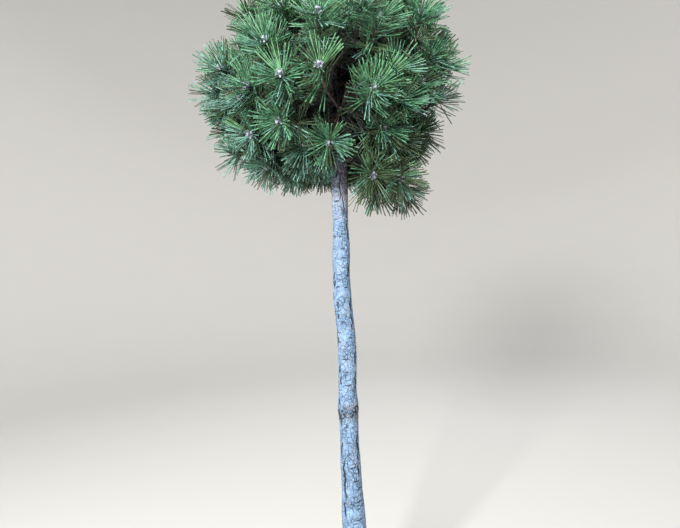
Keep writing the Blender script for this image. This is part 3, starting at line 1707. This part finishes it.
@dataclass
class Needles:
    """Paired needles on every shoot, in six tones, with old and dead ones further in."""

    plan: Plan
    twigs: Twigs
    length: float = 43
    width: float = 2.0
    thickness: float = 1.15
    bend: float = 3.6
    parting_deg: float = 3.6
    bends: tuple = (-0.35, 0.6, 1.5)
    steps: int = 3
    sides: int = 3
    # How much narrower a needle is at its tip, how late it narrows, and how far apart a pair's needles stand
    taper: float = 0.8
    taper_power: float = 3.0
    apart: float = 0.35
    # How far needles spread from the shoot at its foot and at its bud, and how quickly that changes
    spread_foot_deg: float = 78
    spread_bud_deg: float = 50
    spread_power: float = 1.2
    spread_wander_deg: float = 14
    turn_wander: float = 0.32
    lean_out: float = 0.01
    # Along a shoot: how they crowd towards the bud, the last one's place, and how far down they reach
    crowding: float = 2.1
    last_place: float = 0.96
    place_wander: float = 0.01
    full_stretch: float = 1.05
    bare_share: float = 0.35
    bare_stretch: float = 0.5
    main_pairs: int = 60
    main_out: float = 1.6
    sizes: tuple = (0.8, 1.06)
    side_pairs: int = 10
    side_size: float = 0.86
    # Older needles on the twigs, and those on stems and boughs
    old_pairs: int = 30
    old_places: tuple = (0.25, 1.0)
    old_spreads_deg: tuple = (48, 92)
    old_out: float = 1.4
    old_sizes: tuple = (0.72, 0.95)
    stem_pairs: int = 66
    dead_pairs: int = 34
    inner_from: float = 0.5
    inner_spreads_deg: tuple = (60, 130)
    inner_out: float = 2.5
    inner_sizes: tuple = (0.6, 0.9)
    most_pairs: int = 6800
    looked_at: tuple = (0.2, 0.4, 0.6, 0.8, 1.0)
    clearance: float = 1.5
    # A shoot's tone: up to which draw it is its bough's, how much each stray tone has, and which they are
    bough_share: float = 0.68
    stray_share: float = 0.08
    strays: tuple = (Tone.GREEN, Tone.FRESH, Tone.BLUE, Tone.DEEP)
    # A needle's tone: up to which draw it is its shoot's, on green and on deep green shoots, then deep green
    own_share: float = 0.46
    deep_own_share: float = 0.64
    deep_to: float = 0.58
    # After that it goes by the height of the needle's unit vector
    upward_from: float = 0.35
    downward_from: float = -0.2
    upward: TonePair = TonePair(Tone.FRESH, Tone.GREEN, 0.84)
    downward: TonePair = TonePair(Tone.BLUE, Tone.DEEP, 0.82)
    level: TonePair = TonePair(Tone.GREEN, Tone.BLUE, 0.8)
    finishes: tuple = (
        NeedleFinish(Tone.FRESH, linear(68, 112, 70), linear(112, 160, 118)),
        NeedleFinish(Tone.GREEN, linear(50, 98, 68), linear(104, 158, 122)),
        NeedleFinish(Tone.DEEP, linear(42, 58, 38), linear(70, 90, 60)),
        NeedleFinish(Tone.BLUE, linear(58, 98, 84), linear(118, 164, 150)),
        NeedleFinish(Tone.OLD, linear(26, 32, 29), linear(50, 60, 54), 0.6),
        NeedleFinish(Tone.DEAD, linear(66, 53, 45), linear(106, 88, 72), 0.7),
    )

    def tree(self) -> bpy.types.NodeTree:
        """Builds the tree that grows a pair of needles on each point.

        Returns:
            The tree.
        """
        made = SprayTree("needle_pairs", ["Length", "Width", "Thickness", "Bend", "Parting"])
        bench, inputs = made.bench, made.inputs
        place = bench.add("GeometryNodeSplineParameter").outputs["Factor"]
        narrowing = bench.product(bench.maths("POWER", place, self.taper_power), self.taper)
        radius = bench.maths("SUBTRACT", 1.0, narrowing)
        apart = bench.product(inputs["Width"], self.apart)
        shapes = []
        for share in self.bends:
            bend = bench.product(inputs["Bend"], share)
            size = (self.steps, self.sides, radius, inputs["Width"], inputs["Thickness"])
            needle = made.swept(inputs["Length"], bend, *size)
            pair = bench.add("GeometryNodeJoinGeometry")
            for way in (1.0, -1.0):
                feeds = {
                    "Geometry": needle,
                    "Translation": made.vector(y=bench.product(apart, -way)),
                    "Rotation": made.vector(x=bench.product(inputs["Parting"], way)),
                }
                bench.tree.links.new(bench.add("GeometryNodeTransform", feeds).outputs[0], pair.inputs[0])
            shapes.append(pair.outputs[0])
        return made.close(shapes)

    def ring_of(self, rng: np.random.Generator, foot: np.ndarray, bud: np.ndarray, places: np.ndarray,
                spreads: np.ndarray, out_by: float) -> tuple[np.ndarray, np.ndarray, np.ndarray]:
        """Places needle pairs in a spiral along a shoot.

        Args:
            rng: the source of chance.
            foot: where the shoot begins.
            bud: where it ends.
            places: how far along each pair is, as shares.
            spreads: how far each pair spreads from the shoot, in radians.
            out_by: how far from the shoot's middle they are rooted.

        Returns:
            Their roots, ways of growing and ways of leaning.
        """
        points = unit(bud - foot)
        side, rise = side_vectors(points)
        turns = np.arange(len(places)) * GOLDEN_TURN + rng.uniform(0, WHOLE_TURN)
        out = square_to(side, rise, turns + rng.normal(0, self.turn_wander, len(places)))
        grows = square_to(points, out, spreads)
        roots = foot + places[:, None] * (bud - foot) + out * out_by
        leans = unit(points - grows * (grows @ points)[:, None] + out * self.lean_out)
        return roots, grows, leans

    def keep_clear(self, roots: np.ndarray, grows: np.ndarray) -> np.ndarray:
        """Tells which needles pass clear of the trunk.

        Args:
            roots: where they are rooted.
            grows: their unit vectors.

        Returns:
            True for each that is clear.
        """
        kept = []
        for root, way in zip(roots, grows):
            places = [root + way * self.length * share for share in self.looked_at]
            kept.append(all(
                self.plan.clear_of_trunk(place, self.clearance) and not self.plan.in_gap(place)
                for place in places
            ))
        return np.array(kept, dtype=bool)

    def tones_for(self, rng: np.random.Generator, tone: Tone, grows: np.ndarray) -> list[Tone]:
        """Deals the tones of one spray: mostly its own, fresher on top and bluer or deeper below.

        Args:
            rng: the source of chance.
            tone: the spray's own tone.
            grows: the needles' unit vectors.

        Returns:
            A tone for each needle pair.
        """
        draws = rng.random(len(grows))
        own_share = self.deep_own_share if tone is Tone.DEEP else self.own_share
        tones = []
        for draw, way in zip(draws, grows):
            if draw < own_share:
                tones.append(tone)
            elif draw < self.deep_to:
                tones.append(Tone.DEEP)
            elif way[2] > self.upward_from:
                tones.append(self.upward.of(draw))
            elif way[2] < self.downward_from:
                tones.append(self.downward.of(draw))
            else:
                tones.append(self.level.of(draw))
        return tones

    def deal(self) -> dict[Tone, Sprays]:
        """Deals every shoot its needles.

        Returns:
            The needle pairs of each tone.
        """
        sprays = {tone: Sprays() for tone in Tone}
        shoots = [shoot for bough in self.plan.boughs for shoot in bough.shoots]
        for shoot in shoots + self.twigs.side_shoots:
            rng = chances(Draws.SHOOT_NEEDLES, shoot.key)
            self.deal_green(rng, shoot, sprays)
            if not shoot.is_side:
                self.deal_old(rng, shoot, sprays)
        for bough in self.plan.boughs:
            rng = chances(Draws.INNER_NEEDLES, bough.index)
            self.deal_inner(rng, bough, self.dead_pairs, sprays[Tone.DEAD])
            self.deal_inner(rng, bough, self.stem_pairs, sprays[Tone.OLD])
        return sprays

    def deal_green(self, rng: np.random.Generator, shoot: Shoot, sprays: dict[Tone, Sprays]) -> None:
        """Deals a shoot its own needles.

        Args:
            rng: the source of chance.
            shoot: the shoot.
            sprays: the needle pairs of each tone.
        """
        count = self.side_pairs if shoot.is_side else self.main_pairs
        longest = self.bare_stretch if chance(shoot.key, 12) < self.bare_share else self.full_stretch
        back = (1 - np.linspace(0, 1, count)) ** self.crowding * longest
        places = self.last_place - back + rng.normal(0, self.place_wander, count)
        change = np.clip(places, 0, 1) ** self.spread_power
        spreads = self.spread_foot_deg + (self.spread_bud_deg - self.spread_foot_deg) * change
        spreads = np.radians(spreads) + rng.normal(0, math.radians(self.spread_wander_deg), count)
        roots, grows, leans = self.ring_of(rng, shoot.foot, shoot.bud, places, spreads, self.main_out)
        sizes = rng.uniform(*self.sizes, count) * (self.side_size if shoot.is_side else 1.0)
        clear = self.keep_clear(roots, grows)
        tones = np.array(self.tones_for(rng, self.tone_of(shoot), grows), dtype=object)
        for tone in set(tones[clear]):
            chosen = clear & (tones == tone)
            sprays[tone].add(roots[chosen], grows[chosen], leans[chosen], sizes[chosen])

    def tone_of(self, shoot: Shoot) -> Tone:
        """Gives a shoot its own tone: mostly its bough's, and always so on the deep green boughs.

        Args:
            shoot: the shoot.

        Returns:
            The tone.
        """
        draw = chance(shoot.key, 11)
        if draw < self.bough_share or shoot.tone is Tone.DEEP:
            return shoot.tone
        return self.strays[int((draw - self.bough_share) / self.stray_share) % len(self.strays)]

    def deal_old(self, rng: np.random.Generator, shoot: Shoot, sprays: dict[Tone, Sprays]) -> None:
        """Deals the older needles on the twig behind a shoot.

        Args:
            rng: the source of chance.
            shoot: the shoot.
            sprays: the needle pairs of each tone.
        """
        count = self.old_pairs
        places = rng.uniform(*self.old_places, count)
        spreads = np.radians(rng.uniform(*self.old_spreads_deg, count))
        roots, grows, leans = self.ring_of(rng, shoot.leaves, shoot.foot, places, spreads, self.old_out)
        clear = self.keep_clear(roots, grows)
        sizes = rng.uniform(*self.old_sizes, count)
        sprays[Tone.OLD].add(roots[clear], grows[clear], leans[clear], sizes[clear])

    def deal_inner(self, rng: np.random.Generator, bough: Bough, count: int, inner: Sprays) -> None:
        """Deals the dark or dead needles that still hang on a mass's stem and bough.

        Args:
            rng: the source of chance.
            bough: the bough.
            count: how many pairs there are.
            inner: the needle pairs of that tone.
        """
        spreads = np.radians(rng.uniform(*self.inner_spreads_deg, count))
        places = rng.uniform(0, 1, count)
        start = self.plan.at(bough, bough.entry * self.inner_from)
        roots, grows, leans = self.ring_of(rng, start, bough.hub, places, spreads, self.inner_out)
        clear = self.keep_clear(roots, grows)
        sizes = rng.uniform(*self.inner_sizes, count)
        inner.add(roots[clear], grows[clear], leans[clear], sizes[clear])

    def build(self) -> list[bpy.types.Object]:
        """Makes the needles, each tone in pieces of its own.

        Returns:
            The pieces.
        """
        tree = self.tree()
        sprays = self.deal()
        made = []
        for finish in self.finishes:
            sizes = {
                "Length": self.length * METRES,
                "Width": self.width * METRES,
                "Thickness": self.thickness * METRES,
                "Bend": self.bend * METRES,
                "Parting": math.radians(self.parting_deg),
                "Seed": SEED,
                "Finish": finish.material(),
            }
            for points in sprays[finish.tone].objects(f"needles_{finish.tone.value}", self.most_pairs):
                made.append(grown(points, tree, sizes))
        return made


@dataclass
class Buds:
    """Winter buds at the shoots' tips, in small clusters crusted with resin."""

    plan: Plan
    length: float = 7.2
    width: float = 4.4
    steps: int = 7
    sides: int = 8
    # The outline along a bud: how it starts and swells, how it ends and narrows, and how full it is
    foot_start: float = 0.06
    foot_power: float = 0.3
    tip_end: float = 1.02
    tip_power: float = 0.55
    fullness: float = 1.35
    # The outer buds of a cluster: from how many up to fewer than how many, and how they stand off
    outer: tuple = (4, 8)
    outer_off_deg: float = 36
    outer_off_wander_deg: float = 8
    outer_out: float = 2.8
    outer_sizes: tuple = (0.65, 0.9)
    main_off: float = 0.05
    main_sizes: tuple = (0.95, 1.2)
    turn_most: float = 6
    sunk: float = 1.5
    lean_rise: float = 0.3
    most: int = 2000

    def tree(self) -> bpy.types.NodeTree:
        """Builds the tree that grows a bud on each point.

        Returns:
            The tree.
        """
        made = SprayTree("buds", ["Length", "Width"])
        bench, inputs = made.bench, made.inputs
        place = bench.add("GeometryNodeSplineParameter").outputs["Factor"]
        foot = bench.maths("POWER", bench.maths("ADD", place, self.foot_start), self.foot_power)
        tip = bench.maths("POWER", bench.maths("SUBTRACT", self.tip_end, place), self.tip_power)
        radius = bench.product(bench.product(foot, tip), self.fullness)
        size = (self.steps, self.sides, radius, inputs["Width"], inputs["Width"])
        return made.close([made.swept(inputs["Length"], 0.0, *size)])

    def deal(self) -> Sprays:
        """Deals every shoot its buds: one in the middle and some round it.

        Returns:
            The points that grow them.
        """
        buds = Sprays()
        for shoot in [shoot for bough in self.plan.boughs for shoot in bough.shoots]:
            rng = chances(Draws.BUDS, shoot.key)
            count = 1 + int(rng.integers(*self.outer))
            is_outer = np.arange(count) > 0
            side, rise = side_vectors(shoot.points)
            turns = np.arange(count) * 2 * math.pi / (count - 1) + rng.uniform(0, self.turn_most)
            wander = rng.uniform(-self.outer_off_wander_deg, self.outer_off_wander_deg, count)
            off = np.where(is_outer, np.radians(self.outer_off_deg + wander), self.main_off)
            out = square_to(side, rise, turns)
            grows = square_to(shoot.points, out, off)
            roots = shoot.bud - shoot.points * self.sunk + out * is_outer[:, None] * self.outer_out
            main_size = rng.uniform(*self.main_sizes)
            sizes = np.where(is_outer, rng.uniform(*self.outer_sizes, count), main_size)
            buds.add(roots, grows, unit(np.cross(grows, side + self.lean_rise * rise)), sizes)
        return buds

    def build(self) -> list[bpy.types.Object]:
        """Makes the buds.

        Returns:
            The pieces.
        """
        sizes = {
            "Length": self.length * METRES,
            "Width": self.width * METRES,
            "Seed": SEED,
            "Finish": BudFinish().material(),
        }
        tree = self.tree()
        return [grown(points, tree, sizes) for points in self.deal().objects("buds", self.most)]


@dataclass(frozen=True)
class Light:
    """A soft square light: where it hangs and what it faces, in metres, its side, its power and colour."""

    name: str
    place: tuple
    target: tuple
    side: float
    watts: float
    colour: tuple

    def hang(self) -> None:
        """Hangs it in the scene."""
        data = bpy.data.lights.new(self.name, "AREA")
        data.size = self.side
        data.energy = self.watts
        data.color = self.colour
        made = bpy.data.objects.new(self.name, data)
        bpy.context.scene.collection.objects.link(made)
        back = unit(np.array(self.place) - np.array(self.target))
        turn = np.stack([*side_vectors(back), back], axis=1)
        made.matrix_world = Matrix.LocRotScale(self.place, Matrix(turn.tolist()), None)


@dataclass
class Studio:
    """A pale floor that sweeps up all round, soft lights and the camera."""

    focal_pixels: float = 511
    picture_width: float = 680
    sensor: float = 36
    camera_at: tuple = (4.54, -818, 571.75)
    pitch_deg: float = 1.8
    roll_deg: float = 3.71
    clip_end: float = 50
    # Rows of radius and height from the middle outwards
    floor_profile: tuple = (
        (1600, 0), (2300, 0), (2700, 40), (3050, 160), (3320, 390), (3500, 720), (3580, 1200), (3600, 3600),
    )
    floor_sides: int = 96
    floor_colour: tuple = linear(206, 204, 200)
    floor_roughness: float = 0.9
    sky: tuple = (0.80, 0.86, 0.95, 1.0)
    sky_strength: float = 0.33
    lights: tuple = (
        Light("key", (-1.1, -2.3, 1.6), (0, 0, 0.75), 0.8, 178, (1.0, 0.99, 0.97)),
        Light("fill", (1.8, -1.4, 1.2), (0, 0, 0.6), 1.8, 7, (0.9, 0.95, 1.0)),
        Light("back", (0.6, 1.7, 2.8), (0, 0, 0.8), 1.6, 42, (0.95, 0.97, 1.0)),
    )

    def camera(self) -> None:
        """Puts up the camera where the photograph was taken."""
        data = bpy.data.cameras.new("camera")
        data.sensor_width = self.sensor
        data.lens = self.focal_pixels / self.picture_width * self.sensor
        data.clip_end = self.clip_end
        made = bpy.data.objects.new("camera", data)
        bpy.context.scene.collection.objects.link(made)
        pitch, roll = math.radians(self.pitch_deg), math.radians(self.roll_deg)
        forward = np.array([0, math.cos(pitch), math.sin(pitch)])
        right, upright = np.array([1.0, 0, 0]), np.array([0, -math.sin(pitch), math.cos(pitch)])
        turned_right = math.cos(roll) * right - math.sin(roll) * upright
        turned_up = math.sin(roll) * right + math.cos(roll) * upright
        turn = np.stack([turned_right, turned_up, -forward], axis=1)
        place = np.array(self.camera_at) * METRES
        made.matrix_world = Matrix.LocRotScale(place.tolist(), Matrix(turn.tolist()), None)
        bpy.context.scene.camera = made

    def floor(self) -> None:
        """Lays the floor."""
        sides, turns = self.floor_sides, evenly_round(self.floor_sides)
        rings = [
            np.stack([radius * np.cos(turns), radius * np.sin(turns), np.full_like(turns, height)], axis=1)
            for radius, height in self.floor_profile
        ]
        faces = [[j, (j + 1) % sides, sides * len(rings)] for j in range(sides)]
        for i in range(len(rings) - 1):
            a, b = i * sides, (i + 1) * sides
            faces += [[a + j, b + j, b + (j + 1) % sides, a + (j + 1) % sides] for j in range(sides)]
        shell = Shell()
        shell.add(np.concatenate([*rings, [[0, 0, 0]]]), faces)
        surface = Surface("floor")
        surface.shader.inputs["Base Color"].default_value = self.floor_colour
        surface.shader.inputs["Roughness"].default_value = self.floor_roughness
        shell.piece("floor", surface.material)

    def build(self) -> None:
        """Sets up the whole studio."""
        self.camera()
        self.floor()
        world = bpy.data.worlds.new("studio")
        world.use_nodes = True
        back = world.node_tree.nodes["Background"].inputs
        back["Color"].default_value = self.sky
        back["Strength"].default_value = self.sky_strength
        bpy.context.scene.world = world
        bpy.context.scene.view_settings.view_transform = "Standard"
        for light in self.lights:
            light.hang()


def dress(piece: bpy.types.Object, nodes: list[str]) -> None:
    """Makes a piece part of the plant.

    Args:
        piece: the piece.
        nodes: the frame's nodes that it stands for.
    """
    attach(piece, "root")
    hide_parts(*nodes)
    log.info("%s: %d faces", piece.name, len(piece.data.polygons))


def main() -> None:
    """Builds the studio and every piece of the plant."""
    logging.basicConfig(level=logging.INFO, format="%(message)s")
    Studio().build()
    plan = Plan(TrunkShape())
    names = [bough.name for bough in plan.boughs]
    foliage = [f"foliage_{name}" for name in names]
    dress(TrunkBark(plan).build(), ["trunk"])
    dress(Limbs(plan).build(), [f"bough_{name}" for name in names[:-1]])
    twigs = Twigs(plan)
    twigs.deal_side_shoots()
    dress(twigs.build(), foliage)
    for piece in Needles(plan, twigs).build():
        dress(piece, foliage)
    for piece in Buds(plan).build():
        dress(piece, foliage)


if __name__ == "__main__":
    main()
